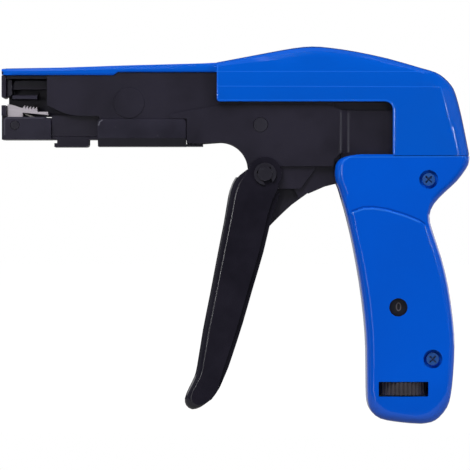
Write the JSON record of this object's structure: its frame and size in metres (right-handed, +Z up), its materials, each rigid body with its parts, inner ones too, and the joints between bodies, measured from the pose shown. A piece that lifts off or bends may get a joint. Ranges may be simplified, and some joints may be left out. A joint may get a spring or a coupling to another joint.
{
  "type": "cable tie tensioning tool",
  "caption": "Pistol-grip hand tool that pulls a cable tie tight with a toothed pawl and cuts its tail once the tension set by a thumbwheel is reached.",
  "frame": {"origin": "on the front face of the nose, at the middle of the tie slot and of the width", "axes": "+X from the nose back to the heel, +Z up across the barrel away from the grip, +Y to the side away from the picture's camera"},
  "size_m": [0.1647, 0.02, 0.1329],
  "materials": {
    "cover_blue": "glossy moulded",
    "grip_blue": "glossy moulded",
    "screw_black": "black",
    "trigger_black": "gloss black",
    "bright_steel": "ground",
    "spring_steel": "drawn wire",
    "nut_brass": "machined",
    "strip_black": "matt",
    "wheel_brown": "ribbed, matt",
    "nose_grey": "black oxide",
    "pin_steel": "black oxide",
    "frame_black": "satin black",
    "inner_steel": "ground",
    "link_dark": "black oxide"
  },
  "bodies": {
    "frame": {"top_cover": "cover_blue", "grip_shell_near": "grip_blue", "grip_shell_far": "grip_blue", "grip_screws": "screw_black", "frame_plate_near": "frame_black", "frame_plate_far": "frame_black", "barrel_plate_near": "frame_black", "barrel_plate_far": "frame_black", "link_plate_near": "frame_black", "link_plate_far": "frame_black", "top_rail": "frame_black", "guide_rail": "frame_black", "barrel_saddle": "nose_grey", "strap_guide": "nose_grey", "frame_rivet": "pin_steel", "trigger_pin": "pin_steel", "retaining_clips": "pin_steel", "rocker_pin": "inner_steel", "trip_pin": "inner_steel", "cutter_pin": "inner_steel", "spring_guide": "link_dark", "return_spring": "spring_steel", "tension_spring": "spring_steel", "thrust_washer": "bright_steel"},
    "trigger": {"trigger": "trigger_black", "trigger_liner": "trigger_black", "trigger_arm": "link_dark", "drive_pin": "inner_steel"},
    "rocker": {"drive_rocker": "link_dark"},
    "draw": {"draw_bar": "link_dark", "draw_pin": "inner_steel", "draw_rivet": "inner_steel", "gripper_carriage": "nose_grey", "pawl_pin": "pin_steel", "pawl_spring": "spring_steel"},
    "pawl": {"gripper_pawl": "bright_steel"},
    "trip": {"trip_rocker": "link_dark"},
    "cutter": {"cutter_lever": "link_dark"},
    "blade": {"cutter_blade": "bright_steel"},
    "plunger": {"plunger": "inner_steel"},
    "nut": {"tension_nut": "nut_brass", "indicator_strip": "strip_black"},
    "wheel": {"adjusting_screw": "bright_steel", "thumbwheel": "wheel_brown"}
  },
  "joints": [
    {"name": "trigger_pull", "type": "hinge", "parent": "frame", "child": "trigger", "pos_m": [0.093, 0, -0.0255], "axis": [0, -1, 0], "range_deg": [0, 26], "stiffness_Nm_per_rad": 0.15, "springref_deg": -17.19, "deforming": ["return_spring"]},
    {"name": "rocker_swing", "type": "hinge", "parent": "frame", "child": "rocker", "pos_m": [0.122, 0, -0.0225], "axis": [0, 1, 0], "range_deg": [0, 36.01]},
    {"name": "draw_slide", "type": "slide", "parent": "frame", "child": "draw", "axis": [1, 0, 0], "range_m": [0, 0.01462]},
    {"name": "pawl_grip", "type": "hinge", "parent": "draw", "child": "pawl", "pos_m": [0.0049, 0, -0.0084], "axis": [0, -1, 0], "range_deg": [0, 6.01]},
    {"name": "tension_trip", "type": "hinge", "parent": "frame", "child": "trip", "pos_m": [0.1315, 0, 0.007], "axis": [0, 1, 0], "range_deg": [0, 7.4], "stiffness_Nm_per_rad": 0.6, "springref_deg": -8.59},
    {"name": "cutter_swing", "type": "hinge", "parent": "frame", "child": "cutter", "pos_m": [0.0351, 0, 0.0059], "axis": [0, -1, 0], "range_deg": [0, 3.76]},
    {"name": "blade_drop", "type": "slide", "parent": "frame", "child": "blade", "axis": [0, 0, -1], "range_m": [0, 0.00211]},
    {"name": "plunger_press", "type": "slide", "parent": "frame", "child": "plunger", "axis": [0, 0, -1], "range_m": [0, 0.00131], "deforming": ["tension_spring"]},
    {"name": "wheel_turn", "type": "hinge", "parent": "frame", "child": "wheel", "pos_m": [0.1415, 0, -0.101], "axis": [0, 0, 1], "range_deg": [0, 2162]},
    {"name": "nut_slide", "type": "slide", "parent": "frame", "child": "nut", "axis": [0, 0, 1], "range_m": [0, 0.012], "deforming": ["tension_spring"]}
  ],
  "couplings": [
    {"joint": "rocker_swing", "follows": "trigger_pull", "ratio": 1.3846},
    {"joint": "draw_slide", "follows": "trigger_pull", "m_per_rad": 0.032221},
    {"joint": "pawl_grip", "follows": "trigger_pull", "ratio": 0.23077},
    {"joint": "cutter_swing", "follows": "tension_trip", "ratio": 0.50676},
    {"joint": "blade_drop", "follows": "tension_trip", "m_per_rad": 0.01626},
    {"joint": "plunger_press", "follows": "tension_trip", "m_per_rad": 0.010065},
    {"joint": "wheel_turn", "follows": "nut_slide", "rad_per_m": 3141.6}
  ]
}
